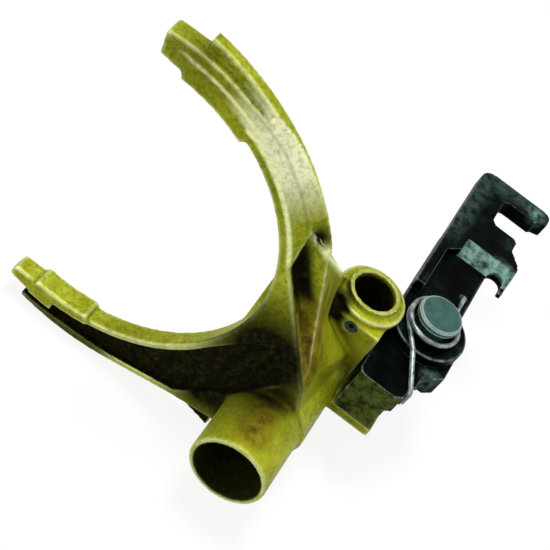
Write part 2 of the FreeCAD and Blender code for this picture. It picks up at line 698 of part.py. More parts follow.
def make_lever():
    body = new_body("selector_lever")
    eye_base = f"{BRACKET_TOP} + lever_seat"
    left = "lever_left"
    waist = "lever_waist"
    joggle = "-pivot_back - joggle_run"
    ramp_near = f"{joggle} + ramp_start"
    floor = f"{eye_base} + eye_thickness"
    tooth = "-pivot_back - tooth_run"
    far = "-pivot_back - lever_run"
    slot_far = "-pivot_back - slot_run - slot_width / 2"
    slot_near = "slot_width / 2 - slot_run - pivot_back"
    slot_bottom = "jaw_reach - slot_depth"
    notch = (f"{joggle} + notch_radius", f"{waist} + notch_radius")
    jaws = new_sketch(body, "lever_jaws", "XY", "lever_top - lever_thickness")
    draw_outline(
        jaws,
        ("-pivot_back - rim_end", left),
        (f"{far} + lever_corner", left),
        ((far, f"{left} + lever_corner"),
         (f"{far} + {ROUND} * lever_corner", f"{left} + {ROUND} * lever_corner")),
        (far, "jaw_reach - jaw_corner"),
        ((f"{far} + jaw_corner", "jaw_reach"),
         (f"{far} + {ROUND} * jaw_corner", f"jaw_reach - {ROUND} * jaw_corner")),
        (f"{slot_far} - jaw_bevel", "jaw_reach"),
        (f"{slot_far} - jaw_bevel / 2", "jaw_reach - 0.8 * jaw_lead"),
        (slot_far, "jaw_reach - jaw_lead"),
        (slot_far, f"{slot_bottom} + slot_corner"),
        ((f"{slot_far} + slot_corner", slot_bottom),
         (f"{slot_far} + {ROUND} * slot_corner", f"{slot_bottom} + {ROUND} * slot_corner")),
        (f"{slot_near} - slot_corner", slot_bottom),
        ((slot_near, f"{slot_bottom} + slot_corner"),
         (f"{slot_near} - {ROUND} * slot_corner", f"{slot_bottom} + {ROUND} * slot_corner")),
        (slot_near, "tooth_side - tooth_corner"),
        (f"{slot_near} + tooth_corner", "tooth_side"),
        (tooth, "tooth_side"),
        (f"{tooth} + 0.7 * tooth_slope", "lower_jaw_side - tooth_ease"),
        (f"{tooth} + tooth_slope", "lower_jaw_side"),
        (f"{joggle} + notch_radius + lip_width", "lower_jaw_side"),
        (f"{joggle} + notch_radius + lip_width", f"{waist} + 2 * notch_radius"),
        (f"{joggle} + notch_radius", f"{waist} + 2 * notch_radius"),
        ((joggle, f"{waist} + notch_radius"), about(notch, "notch_radius", "135")),
        ((f"{joggle} + notch_radius", waist), about(notch, "notch_radius", "225")),
        ("-pivot_back - rim_end", waist),
        ("-pivot_back - rim_end", left),
    )
    pad(body, jaws, "lever_thickness")
    eye = new_sketch(body, "lever_eye", "XY", eye_base)
    draw_circle(eye, PIVOT, "eye_radius")
    pad(body, eye, "eye_thickness")
    arm = new_sketch(body, "lever_arm", "XY", eye_base)
    draw_outline(
        arm,
        ("-pivot_back", left),
        (f"{joggle} - 2 * overlap", left),
        (f"{joggle} - 2 * overlap", waist),
        ("-pivot_back", waist),
        ("-pivot_back", left),
    )
    pad(body, arm, "eye_thickness")
    well = new_sketch(body, "lever_well", "XY", floor)
    draw_outline(
        well,
        ("-pivot_back + eye_radius + overlap", f"{left} + rim_left_width"),
        (f"{ramp_near} + joggle_corner", f"{left} + rim_left_width"),
        (ramp_near, f"{left} + rim_left_width + joggle_corner"),
        (ramp_near, "lower_jaw_side + overlap"),
        ("-pivot_back + eye_radius + overlap", "lower_jaw_side + overlap"),
        ("-pivot_back + eye_radius + overlap", f"{left} + rim_left_width"),
    )
    pocket(body, well, "lever_top", reverse=True)
    ramp = new_sketch(body, "lever_ramp", "XZ", f"-({left} + rim_left_width + joggle_corner)")
    draw_outline(
        ramp,
        (f"{ramp_near} + overlap", floor),
        (ramp_near, floor),
        (f"{ramp_near} - ramp_run", "lever_top"),
        (f"{ramp_near} - ramp_run", "lever_top + overlap"),
        (f"{ramp_near} + overlap", "lever_top + overlap"),
        (f"{ramp_near} + overlap", floor),
    )
    pocket(body, ramp, "lever_waist")
    hole = new_sketch(body, "lever_hole", "XY", f"{eye_base} - overlap")
    draw_circle(hole, PIVOT, "pin_shank_radius + running_gap")
    draw_circle(hole, ("-pivot_back - tang_run", "pivot_side + tang_side"), "tang_hole_radius")
    pocket(body, hole, "lever_top", reverse=True)
    return body


# Pivot pin: flat head, shank and riveted tail, turned about the pivot

COIL_BASE = f"{BRACKET_TOP} + lever_seat + eye_thickness + coil_lift"
COIL_TOP = f"{COIL_BASE} + 2 * wire_radius + coil_turns * coil_pitch"
COIL_SIDES = 16
BEND_STEPS = [0, 0.25, 0.5, 0.75, 1]
LEVEL_SHARE = 0.45  # the long leg stays level over this share of its run


def make_pivot_pin():
    body = new_body("pivot_pin")
    head_base = f"{COIL_TOP} + head_gap"
    head_top = f"{head_base} + pin_head_height"
    outline = [
        ("0", "-shelf_thickness"),
        ("pin_tail_radius", "-shelf_thickness"),
        ("pin_tail_radius", BRACKET_TOP),
        ("pin_shank_radius", BRACKET_TOP),
        ("pin_shank_radius", head_base),
        ("pin_head_radius - head_chamfer / 2", head_base),
        ("pin_head_radius", f"{head_base} + head_chamfer / 2"),
        ("pin_head_radius", f"{head_top} - head_chamfer"),
        ("pin_head_radius - head_chamfer", head_top),
        ("0", head_top),
        ("0", "-shelf_thickness"),
    ]
    turned(body, "pivot_pin_profile", "XZ", "V_Axis", outline)
    place(body, x="-pivot_back", y="pivot_side")
    return body


# Cross pin: strip of spring steel rolled into a slotted tube

def make_cross_pin():
    body = new_body("cross_pin")
    tube = new_sketch(body, "cross_pin_tube", "YZ")
    draw_circle(tube, ("0", "0"), "cross_pin_radius")
    draw_circle(tube, ("0", "0"), "cross_pin_bore")
    pad(body, tube, "cross_pin_length")
    slot = new_sketch(body, "cross_pin_slot", "YZ", "-overlap")
    draw_outline(
        slot,
        ("0", "-cross_pin_gap / 2"),
        ("2 * cross_pin_radius", "-cross_pin_gap / 2"),
        ("2 * cross_pin_radius", "cross_pin_gap / 2"),
        ("0", "cross_pin_gap / 2"),
        ("0", "-cross_pin_gap / 2"),
    )
    pocket(body, slot, "cross_pin_length + 2 * overlap", reverse=True)
    place(body, x="-column_front - cross_pin_inset - cross_pin_length", y="boss_side",
          z="boss_top - cross_pin_drop")
    return body


# Torsion spring: round wire wound round the pin, hooked over the bracket and over the lever

def bend(before, corner, after, radius):
    """Points round a rounded corner between two straight runs."""
    towards = (before - corner).normalize() * radius
    away = (after - corner).normalize() * radius
    steps = BEND_STEPS
    return [corner + towards * (1 - t) ** 2 + away * t ** 2 for t in steps]


def spring_path():
    """Points down the middle of the wire, from the bracket's hook to the lever's hook."""
    wire = value_of("wire_radius")
    coil = value_of("coil_radius")
    turns = value_of("coil_turns")
    rise = value_of("coil_pitch")
    base = value_of(COIL_BASE) + wire
    edge = value_of("hook_run")
    side = value_of(f"{BRACKET_LEFT} + bracket_width - hook_step - pivot_side + wire_gap") + wire
    seat = value_of(f"{BRACKET_TOP} + wire_gap") + wire
    leg_angle = math.atan2(side, edge) - math.acos(coil / math.hypot(edge, side))
    hook = Vector(edge, side, seat)
    hook_end = hook - Vector(0, 0, value_of("hook_drop"))

    def on_coil(turned_by):
        angle = leg_angle - turned_by
        height = base + rise * turned_by / (2 * math.pi)
        return Vector(coil * math.cos(angle), coil * math.sin(angle), height)

    first = on_coil(0)
    bend_radius = 2 * wire
    clear = first + (hook - first) * LEVEL_SHARE
    clear.z = first.z
    path = [hook_end, (hook_end + hook) / 2]
    path += bend(hook_end, hook, first, bend_radius)
    path += [(hook + clear) / 2, clear]
    around = 2 * math.pi * turns
    count = round(turns * COIL_SIDES)
    path += [on_coil(around * step / count) for step in range(count + 1)]
    last = on_coil(around)
    over = Vector(-value_of("tang_run"), value_of("tang_side"), base)
    tang_end = over - Vector(0, 0, value_of("tang_drop"))
    path += [(last + over) / 2]
    path += bend(last, over, tang_end, bend_radius)
    path += [tang_end]
    return path


def make_spring():
    """Wire with eight flat sides, swept along its path with a mitre at each corner."""
    sides = 8
    wire = value_of("wire_radius")
    path = spring_path()
    along = (path[1] - path[0]).normalize()
    across = along.cross(Vector(1, 0, 0)).normalize()
    upward = along.cross(across)
    turns = [2 * math.pi * step / sides for step in range(sides + 1)]
    ring = [path[0] + (across * math.cos(turn) + upward * math.sin(turn)) * wire for turn in turns]
    mitred = 1
    item = document.addObject("Part::Feature", "torsion_spring")
    item.Label = "torsion_spring"
    item.Shape = Part.makePolygon(path).makePipeShell([Part.makePolygon(ring)], True, False, mitred)
    place(item, x="-pivot_back", y="pivot_side")
    return item


pieces = [make_casting(), make_bracket(), make_lever(), make_pivot_pin(), make_cross_pin(), make_spring()]
document.recompute()

for item in document.Objects:
    if "Invalid" in item.State or "Error" in item.State:
        raise ValueError(f"{item.Name} failed: {item.State}")
for piece in pieces:
    if piece.Shape.isNull() or not piece.Shape.isValid():
        raise ValueError(f"{piece.Label} has no valid shape")

os.makedirs("parts", exist_ok=True)
for piece in pieces:
    piece.Shape.exportStep(f"parts/{piece.Label}.step")
    print(f"{piece.Label}: {len(piece.Shape.Solids)} solid, {piece.Shape.Volume / 1000:.2f} cm3")
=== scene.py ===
# %% [markdown]
# # Shift fork in cast bronze with a sprung steel lever
#
# The real object is a gearbox part. A bronze casting slides on a rail, its two curved arms hold
# a sleeve between wear shoes, and a dark steel lever turns on a riveted pin beside the rail.
# The exact solids come in as a fixed frame. This lesson gives them soft cast edges, a smooth
# spring, worn finishes with painted light and shade, plain studio light and a camera.

# %% Load the frame
import math

import bmesh
import bpy
import numpy as np
from mathutils import Matrix, Vector


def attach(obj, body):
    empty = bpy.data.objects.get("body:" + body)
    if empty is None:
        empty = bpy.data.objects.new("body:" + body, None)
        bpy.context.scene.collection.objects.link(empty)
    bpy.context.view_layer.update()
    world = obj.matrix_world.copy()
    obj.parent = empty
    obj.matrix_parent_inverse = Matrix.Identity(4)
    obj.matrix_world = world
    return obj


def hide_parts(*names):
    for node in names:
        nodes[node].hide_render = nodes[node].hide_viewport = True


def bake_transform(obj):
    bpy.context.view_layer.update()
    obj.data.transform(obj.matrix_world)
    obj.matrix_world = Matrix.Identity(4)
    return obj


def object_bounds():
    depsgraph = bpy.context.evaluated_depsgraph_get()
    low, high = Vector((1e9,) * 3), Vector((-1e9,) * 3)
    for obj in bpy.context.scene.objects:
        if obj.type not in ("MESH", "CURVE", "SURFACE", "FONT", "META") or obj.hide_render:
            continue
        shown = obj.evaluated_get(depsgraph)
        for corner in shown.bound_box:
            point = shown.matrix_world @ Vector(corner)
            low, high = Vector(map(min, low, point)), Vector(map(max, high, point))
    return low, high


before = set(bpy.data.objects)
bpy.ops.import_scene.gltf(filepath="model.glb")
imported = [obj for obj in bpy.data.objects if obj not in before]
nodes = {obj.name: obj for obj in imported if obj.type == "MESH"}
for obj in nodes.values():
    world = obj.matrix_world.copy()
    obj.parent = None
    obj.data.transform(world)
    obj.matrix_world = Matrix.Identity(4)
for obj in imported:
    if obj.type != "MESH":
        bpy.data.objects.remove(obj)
cad_box = [list(corner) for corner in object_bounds()]
MM = 0.001
scene = bpy.context.scene
print("pieces of the frame:", ", ".join(sorted(nodes)))

# %% [markdown]
# ## Camera
#
# The photograph was taken from above the tube end, with the camera rolled on its side. A track
# constraint can't give that roll, so the camera's own axes are written out: right, up and back
# are three unit vectors at right angles, and they are the columns of its rotation. The lens
# follows from how many times longer the focal length is than the picture is wide.

# %% Camera
PICTURE_SIDE = 550
FOCAL_PIXELS = 1326.67
SENSOR_WIDTH = 36.0
CAMERA_PLACE = Vector((188.46, -13.43, 225.88)) * MM
CAMERA_UP = Vector((-0.5610, -0.6025, 0.5678))
CAMERA_BACK = Vector((0.7048, 0.0123, 0.7093)).normalized()
NEAREST_SEEN, FARTHEST_SEEN = 5 * MM, 5.0

camera_right = CAMERA_UP.cross(CAMERA_BACK).normalized()
camera_up = CAMERA_BACK.cross(camera_right)
camera_turn = Matrix((camera_right, camera_up, CAMERA_BACK)).transposed()

camera = bpy.data.objects.new("camera", bpy.data.cameras.new("camera"))
scene.collection.objects.link(camera)
camera.matrix_world = Matrix.Translation(CAMERA_PLACE) @ camera_turn.to_4x4()
camera.data.sensor_width = SENSOR_WIDTH
camera.data.lens = SENSOR_WIDTH * FOCAL_PIXELS / PICTURE_SIDE
camera.data.clip_start = NEAREST_SEEN
camera.data.clip_end = FARTHEST_SEEN
scene.camera = camera
print("lens", round(camera.data.lens, 2), "mm")

# %% [markdown]
# ## Light
#
# Bare metal shows what stands round it, so a few large soft lamps work better than one small
# bright one: their edges give the long pale highlights on the rims. The key lamp hangs nearly
# overhead, a broad fill lamp stands low on the camera's side and a weak rim lamp stands on the
# lever's side. The world is white for what the camera sees and for reflections, and a quieter
# grey for the light that it gives.

# %% Lamps
OBJECT_MIDDLE = Vector((-30, -15, 20)) * MM


def soft_lamp(name, direction, distance, side, power):
    """A square lamp that hangs in a direction from the object and faces it."""
    lamp = bpy.data.objects.new(name, bpy.data.lights.new(name, "AREA"))
    lamp.data.size = side
    lamp.data.energy = power
    back = Vector(direction).normalized()
    lamp.location = OBJECT_MIDDLE + back * distance
    lamp.rotation_euler = back.to_track_quat("Z", "Y").to_euler()
    scene.collection.objects.link(lamp)
    print(name, "gives", power, "W from", distance, "m")


soft_lamp("key_lamp", direction=(-0.10, -0.15, 1.0), distance=0.45, side=0.16, power=2.3)
soft_lamp("fill_lamp", direction=(1.0, -0.45, 0.25), distance=0.7, side=0.30, power=1.9)
soft_lamp("rim_lamp", direction=(-0.4, 1.0, 0.4), distance=0.7, side=0.25, power=0.9)


# %% Node helpers
def feed(tree, socket, value):
    """Set a socket to a number or a colour, or link it to another socket."""
    if isinstance(value, tuple):
        socket.default_value = (*value, 1)
    elif isinstance(value, float):
        socket.default_value = value
    else:
        tree.links.new(value, socket)


def graph(tree, operation, first, second):
    """A Math node on two values, with its result kept between 0 and 1."""
    node = tree.nodes.new("ShaderNodeMath")
    node.operation = operation
    node.use_clamp = True
    for socket, value in zip(node.inputs, (first, second)):
        feed(tree, socket, value)
    return node.outputs[0]


def showing_rays(tree):
    """1 for rays that show a thing to the camera, 0 for rays that only bring light."""
    rays = tree.nodes.new("ShaderNodeLightPath").outputs
    showing = graph(tree, "MAXIMUM", rays["Is Camera Ray"], rays["Is Glossy Ray"])
    return graph(tree, "MAXIMUM", showing, rays["Is Transmission Ray"])


def mixed_surface(tree, factor, first, second, output_type):
    """Mix two shader nodes by a factor and give the mix to a new output node."""
    mix = tree.nodes.new("ShaderNodeMixShader")
    output = tree.nodes.new(output_type)
    tree.links.new(factor, mix.inputs["Fac"])
    tree.links.new(first.outputs[0], mix.inputs[1])
    tree.links.new(second.outputs[0], mix.inputs[2])
    tree.links.new(mix.outputs[0], output.inputs["Surface"])


# %% World
WORLD_GREY = (0.30, 0.30, 0.30)
WHITE = (1.0, 1.0, 1.0)
world = bpy.data.worlds.new("studio")
scene.world = world
world.use_nodes = True
tree = world.node_tree
tree.nodes.clear()
lit = tree.nodes.new("ShaderNodeBackground")
feed(tree, lit.inputs["Color"], WORLD_GREY)
seen = tree.nodes.new("ShaderNodeBackground")
feed(tree, seen.inputs["Color"], WHITE)
mixed_surface(tree, showing_rays(tree), lit, seen, "ShaderNodeOutputWorld")
scene.view_settings.view_transform = "Standard"
print("the world is seen white and lights with", WORLD_GREY[0])

# %% [markdown]
# ## Floor
#
# The photograph has a pure white ground. A floor that only glows white would lose the shadow,
# so its surface is mostly glow with a little ordinary white paint, and the paint is the part
# that a shadow can darken.

# %% Floor
FLOOR_SIDE = 3.0
FLOOR_GAP = 0.1 * MM
floor_height = cad_box[0][2] - FLOOR_GAP
half = FLOOR_SIDE / 2
corners = ((-half, -half), (half, -half), (half, half), (-half, half))
floor_mesh = bpy.data.meshes.new("floor")
floor_mesh.from_pydata([(x, y, floor_height) for x, y in corners], [], [(0, 1, 2, 3)])
floor = bpy.data.objects.new("floor", floor_mesh)
scene.collection.objects.link(floor)
print("the floor lies at z =", round(floor_height / MM, 2), "mm")

# %% Floor paint
GLOW_SHARE = 0.88
PAINT_WHITE = (0.9, 0.9, 0.9)
floor_paint = bpy.data.materials.new("white_floor")
floor_paint.use_nodes = True
tree = floor_paint.node_tree
tree.nodes.clear()
paint = tree.nodes.new("ShaderNodeBsdfDiffuse")
feed(tree, paint.inputs["Color"], PAINT_WHITE)
glow = tree.nodes.new("ShaderNodeEmission")
glow_share = graph(tree, "MULTIPLY", showing_rays(tree), GLOW_SHARE)
mixed_surface(tree, glow_share, paint, glow, "ShaderNodeOutputMaterial")
floor_mesh.materials.append(floor_paint)
print("the floor's paint is", round(1 - GLOW_SHARE, 2), "of what the camera sees of it")

# %% [markdown]
# ## Cast bronze
#
# Sand-cast bronze is olive yellow, brown where oil has burnt in. Five marks tell the material
# where it is: wear with painted highlights on outward edges, a painted sheen on a flank,
# painted light on a few faces, stain where oil ran, and painted shade with soot in pockets. They
# are worked out from the mesh later and kept as attributes, so they stay with the metal from
# every side. Here they only steer the colour and the roughness. Each mark is broken up by a
# noise pattern, so that no edge of it looks painted. A thin film of old oil lies in soft clouds
# over all of it.

# %% Material helpers
# The Mix node has sockets of the same name for each data type, so colours go by number.
MIX_FIRST, MIX_SECOND, MIX_RESULT = 6, 7, 2


def new_material(name):
    """A material with one Principled shader, and its node tree."""
    material = bpy.data.materials.new(name)
    material.use_nodes = True
    return material, material.node_tree, material.node_tree.nodes["Principled BSDF"]


def noise(tree, scale, detail=4.0, rough=0.55):
    """Noise on the object's own coordinates, with its scale in features a metre."""
    place = tree.nodes.new("ShaderNodeTexCoord")
    texture = tree.nodes.new("ShaderNodeTexNoise")
    for name, value in (("Scale", scale), ("Detail", detail), ("Roughness", rough)):
        feed(tree, texture.inputs[name], value)
    tree.links.new(place.outputs["Object"], texture.inputs["Vector"])
    return texture.outputs["Fac"]


def ramp(tree, value, *stops):
    """Colour ramp with (place, colour) stops, driven by a value."""
    node = tree.nodes.new("ShaderNodeValToRGB")
    elements = node.color_ramp.elements
    while len(elements) < len(stops):
        elements.new(0.5)
    for element, (place, colour) in zip(elements, stops):
        element.position = place
        element.color = (*colour, 1)
    tree.links.new(value, node.inputs["Fac"])
    return node.outputs["Color"]


def grey_ramp(tree, value, *stops):
    """Colour ramp of greys, given as (place, brightness) stops."""
    return ramp(tree, value, *((place, (bright,) * 3) for place, bright in stops))


def blend_colours(tree, factor, first, second):
    """Mix two colours by a factor."""
    node = tree.nodes.new("ShaderNodeMix")
    node.data_type = "RGBA"
    feed(tree, node.inputs["Factor"], factor)
    feed(tree, node.inputs[MIX_FIRST], first)
    feed(tree, node.inputs[MIX_SECOND], second)
    return node.outputs[MIX_RESULT]


def mark(tree, name):
    """A value painted on the mesh's vertices."""
    node = tree.nodes.new("ShaderNodeAttribute")
    node.attribute_name = name
    return node.outputs["Fac"]


def paint_marks(tree, skin, *marks):
    """Lay the colours of marks over a skin, given as (mark, pattern, colour)."""
    for name, pattern, colour in marks:
        share = graph(tree, "MULTIPLY", mark(tree, name), pattern)
        skin = blend_colours(tree, share, skin, colour)
    return skin


def bump(tree, shader, height, strength, distance):
    """Bump from a height, strength 0 to 1 and distance in metres."""
    node = tree.nodes.new("ShaderNodeBump")
    node.inputs["Strength"].default_value = strength
    node.inputs["Distance"].default_value = distance
    tree.links.new(height, node.inputs["Height"])
    tree.links.new(node.outputs["Normal"], shader.inputs["Normal"])


# %% Colours and patterns of the bronze
# Colours are linear red, green and blue.
OLIVE_DARK, OLIVE, OLIVE_PALE = (0.165, 0.180, 0.0035), (0.265, 0.290, 0.0070), (0.37, 0.41, 0.035)
GRAIN_DARK = (0.085, 0.092, 0.002)
OIL_FILM = (0.105, 0.115, 0.0030)
# Colour of light painted onto a few lit faces.
PAINTED_LIGHT_TONE = (0.40, 0.42, 0.014)
STAIN_DARK, STAIN_BROWN = (0.060, 0.036, 0.0012), (0.200, 0.132, 0.0035)
STAIN_OCHRE = (0.330, 0.260, 0.0070)
# Colour of the sheen painted on the upper arm's flank.
SHEEN_TONE = (0.78, 0.79, 0.50)
# Colour of worn edges with painted highlights.
WORN_AND_LIT = (0.76, 0.82, 0.38)
# Colours of the painted shade, with some soot, in pockets and corners.
SHADE_SOOT_BLACK, SHADE_SOOT_BROWN = (0.0012, 0.0010, 0.0004), (0.0070, 0.0060, 0.0008)
SHADE_SOOT_DUSTY = (0.040, 0.036, 0.003)

# Patterns are features a metre, layers of finer detail and the strength of those layers.
FILM_CLOUDS = (48.0, 7.0, 0.68)
SKIN_CLOUDS = (90.0, 6.0, 0.62)
MARK_PATCHES = (260.0, 6.0, 0.7)
STAIN_PATCHES = (330.0, 6.0, 0.7)
DULL_PATCHES = (500.0,)
SHADE_SOOT_PATCHES = (620.0, 7.0, 0.75)
SHADE_SOOT_SPECKS = (700.0, 6.0, 0.7)
SPARKLE = (950.0, 6.0, 0.75)
GRAIN = (1100.0, 5.0, 0.7)

CREVICE_SAMPLES = 8
CREVICE_REACH = 8 * MM
GRAIN_DEPTH = 0.18 * MM
print("grain of the casting:", round(1000 / GRAIN[0], 2), "mm wide")


# %% Bronze material
def crevice(tree, distance):
    """How enclosed a place is, 0 in the open and 1 deep in a corner, from the piece alone."""
    node = tree.nodes.new("ShaderNodeAmbientOcclusion")
    node.only_local = True
    node.samples = CREVICE_SAMPLES
    node.inputs["Distance"].default_value = distance
    return graph(tree, "SUBTRACT", 1.0, node.outputs["AO"])


def bronze_skin(tree):
    """Colour of the bronze, with its marks but without its painted shade and soot."""
    skin = ramp(tree, noise(tree, *SKIN_CLOUDS),
                (0.30, OLIVE_DARK), (0.50, OLIVE), (0.72, OLIVE_PALE))
    grain = grey_ramp(tree, noise(tree, *GRAIN), (0.36, 0.35), (0.56, 1.0))
    skin = blend_colours(tree, grain, GRAIN_DARK, skin)
    film = grey_ramp(tree, noise(tree, *FILM_CLOUDS), (0.48, 0.0), (0.66, 0.40))
    skin = blend_colours(tree, film, skin, OIL_FILM)
    patchy = grey_ramp(tree, noise(tree, *MARK_PATCHES), (0.36, 0.25), (0.58, 1.0))
    sparkle = grey_ramp(tree, noise(tree, *SPARKLE), (0.34, 0.45), (0.54, 1.0))
    stain = ramp(tree, noise(tree, *STAIN_PATCHES),
                 (0.40, STAIN_DARK), (0.54, STAIN_BROWN), (0.68, STAIN_OCHRE))
    return paint_marks(tree, skin, ("painted_light", patchy, PAINTED_LIGHT_TONE), ("stain", patchy, stain),
                       ("painted_sheen", sparkle, SHEEN_TONE), ("wear", sparkle, WORN_AND_LIT))


def make_bronze():
    """The casting's material: its skin, and painted shade with soot over it that is also rougher.
    """
    material, tree, shader = new_material("cast_bronze")
    skin = bronze_skin(tree)
    # Ambient occlusion darkens enclosed corners: painted shade.
    crevice_shade = grey_ramp(tree, crevice(tree, CREVICE_REACH), (0.14, 0.0), (0.60, 0.9))
    specks = grey_ramp(tree, noise(tree, *SHADE_SOOT_SPECKS), (0.30, 0.93), (0.50, 1.0))
    shaded_and_sooty = graph(tree, "MULTIPLY", graph(tree, "ADD", mark(tree, "shade_and_soot"), crevice_shade), specks)
    shade_and_soot = ramp(tree, noise(tree, *SHADE_SOOT_PATCHES),
                (0.40, SHADE_SOOT_BLACK), (0.60, SHADE_SOOT_BROWN), (0.78, SHADE_SOOT_DUSTY))
    feed(tree, shader.inputs["Base Color"], blend_colours(tree, shaded_and_sooty, skin, shade_and_soot))
    dull = graph(tree, "ADD", shaded_and_sooty, graph(tree, "MULTIPLY", noise(tree, *DULL_PATCHES), 0.3))
    rough = grey_ramp(tree, dull, (0.0, 0.34), (0.5, 0.52), (1.0, 0.86))
    feed(tree, shader.inputs["Roughness"], rough)
    shader.inputs["Metallic"].default_value = 0.25
    shader.inputs["Specular IOR Level"].default_value = 0.05
    bump(tree, shader, noise(tree, *GRAIN), strength=0.6, distance=GRAIN_DEPTH)
    return material


bronze = make_bronze()
print("bronze:", len(bronze.node_tree.nodes), "nodes")

# %% [markdown]
# ## Blackened steel, pins and wire
#
# The bracket and the lever are blackened steel: nearly black, with a faint green cast in soft
# clouds. Their painted teal highlights, their oil with a painted reflection of the bronze and
# their bare edges with painted highlights are marks again, so one helper lays them on as it did
# for the bronze. The pins and the spring wire are plainer, and one function makes both from two
# shades and a measure of how shiny they are.

# %% Blackened steel
BLACK_DEEP, BLACK = (0.0003, 0.0004, 0.0004), (0.0016, 0.0036, 0.0029)
BLACK_THIN = (0.0110, 0.0260, 0.0200)
# Teal of painted highlights and of a film, olive of oil with a painted reflection, and pale of
# bare edges with painted highlights.
TEAL_HIGHLIGHT_AND_FILM, OILY_REFLECTION, BARE_AND_LIT = (0.17, 0.31, 0.25), (0.085, 0.115, 0.018), (0.40, 0.52, 0.48)
BLACK_CLOUDS = (130.0, 5.0, 0.6)
BLACK_DULL = (150.0,)
BLACK_PATCHES = (420.0, 5.0, 0.7)
BLACK_TEXTURE = (1400.0, 3.0)


def make_dark_steel():
    """Blackened steel with marks of painted highlights, oil with a painted reflection and worn
    edges.
    """
    material, tree, shader = new_material("dark_steel")
    skin = ramp(tree, noise(tree, *BLACK_CLOUDS),
                (0.40, BLACK_DEEP), (0.58, BLACK), (0.72, BLACK_THIN))
    patchy = grey_ramp(tree, noise(tree, *BLACK_PATCHES), (0.38, 0.10), (0.60, 1.0))
    skin = paint_marks(tree, skin, ("highlight_and_film", patchy, TEAL_HIGHLIGHT_AND_FILM), ("oil_and_reflection", patchy, OILY_REFLECTION),
                       ("wear", patchy, BARE_AND_LIT))
    feed(tree, shader.inputs["Base Color"], skin)
    rough = grey_ramp(tree, noise(tree, *BLACK_DULL), (0.3, 0.26), (0.7, 0.46))
    feed(tree, shader.inputs["Roughness"], rough)
    shader.inputs["Specular IOR Level"].default_value = 0.015
    bump(tree, shader, noise(tree, *BLACK_TEXTURE), strength=0.25, distance=0.05 * MM)
    return material


dark_steel = make_dark_steel()
print("dark steel:", len(dark_steel.node_tree.nodes), "nodes")

# %% Plain steel
# Pale of worn edges with painted highlights.
WORN_LIT_STEEL = (0.62, 0.72, 0.70)
PLAIN_CLOUDS = (500.0, 5.0)
PLAIN_DULL = (700.0,)
PLAIN_TEXTURE = (2200.0, 2.0)


def make_plain_steel(name, dark, light, metallic, gloss, rough_low, rough_high):
    """Steel between two shades, pale where it is worn and where highlights are painted."""
    material, tree, shader = new_material(name)
    skin = ramp(tree, noise(tree, *PLAIN_CLOUDS), (0.35, dark), (0.65, light))
    skin = blend_colours(tree, mark(tree, "wear"), skin, WORN_LIT_STEEL)
    feed(tree, shader.inputs["Base Color"], skin)
    shader.inputs["Metallic"].default_value = metallic
    shader.inputs["Specular IOR Level"].default_value = gloss
    rough = grey_ramp(tree, noise(tree, *PLAIN_DULL), (0.3, rough_low), (0.7, rough_high))
    feed(tree, shader.inputs["Roughness"], rough)
    bump(tree, shader, noise(tree, *PLAIN_TEXTURE), strength=0.2, distance=0.03 * MM)
    return material


pin_steel = make_plain_steel(
    "pin_steel", dark=(0.016, 0.056, 0.048), light=(0.030, 0.092, 0.080),
    metallic=0.0, gloss=0.2, rough_low=0.36, rough_high=0.50)
# The spring's pale shade paints glints along the wire.
spring_steel = make_plain_steel(
    "spring_steel", dark=(0.050, 0.066, 0.062), light=(0.28, 0.33, 0.32),
    metallic=0.35, gloss=0.4, rough_low=0.26, rough_high=0.40)
print("pin and spring steel:", len(pin_steel.node_tree.nodes), "nodes each")

# %% [markdown]
# ## Soft cast edges
#
# A casting has no knife edges: the sand rounds every corner and fills every inner angle. The
# solid of the frame is exact and sharp. A bevel could round it, but bevels clash where many
# faces meet, so a copy is rebuilt from small cubes with a voxel remesh, which gives an even
# skin, and then smoothed. Outward edges wear first and catch the light, so how far each vertex
# stands out of its neighbours is measured on that skin and kept as the mark of wear and painted
# highlights.

# %% Soft copies
MERGE_GAP = 0.002 * MM
SMOOTH_FACTOR = 0.5


def merged_copy(node, name):
    """A copy of a frame node as one closed mesh, with its loose triangles joined."""
    mesh = nodes[node].data.copy()
    mesh.name = name
    bm = bmesh.new()
    bm.from_mesh(mesh)
    bmesh.ops.remove_doubles(bm, verts=bm.verts, dist=MERGE_GAP)
    bm.to_mesh(mesh)
    bm.free()
    mesh.materials.clear()
    piece = bpy.data.objects.new(name, mesh)
    scene.collection.objects.link(piece)
    return piece


def evaluated_mesh(piece):
    """A new mesh of a piece as its modifiers leave it."""
    return bpy.data.meshes.new_from_object(
        piece.evaluated_get(bpy.context.evaluated_depsgraph_get()))


def soften(piece, voxel, rounds):
    """Rebuild a piece from small cubes and smooth it, and make both part of its mesh."""
    remesh = piece.modifiers.new("remesh", "REMESH")
    remesh.mode = "VOXEL"
    remesh.voxel_size = voxel
    smooth = piece.modifiers.new("smooth", "SMOOTH")
    smooth.factor = SMOOTH_FACTOR
    smooth.iterations = rounds
    soft, sharp = evaluated_mesh(piece), piece.data
    piece.modifiers.clear()
    piece.data = soft
    soft.name = piece.name
    bpy.data.meshes.remove(sharp)
    for polygon in soft.polygons:
        polygon.use_smooth = True
    return piece


# %% Edges and marks
BEND_SPREAD = 2


def vertex_arrays(mesh):
    """Vertex places in metres and vertex normals, as two arrays."""
    places = np.empty(len(mesh.vertices) * 3)
    normals = np.empty(len(mesh.vertices) * 3)
    mesh.vertices.foreach_get("co", places)
    mesh.vertices.foreach_get("normal", normals)
    return places.reshape(-1, 3), normals.reshape(-1, 3)


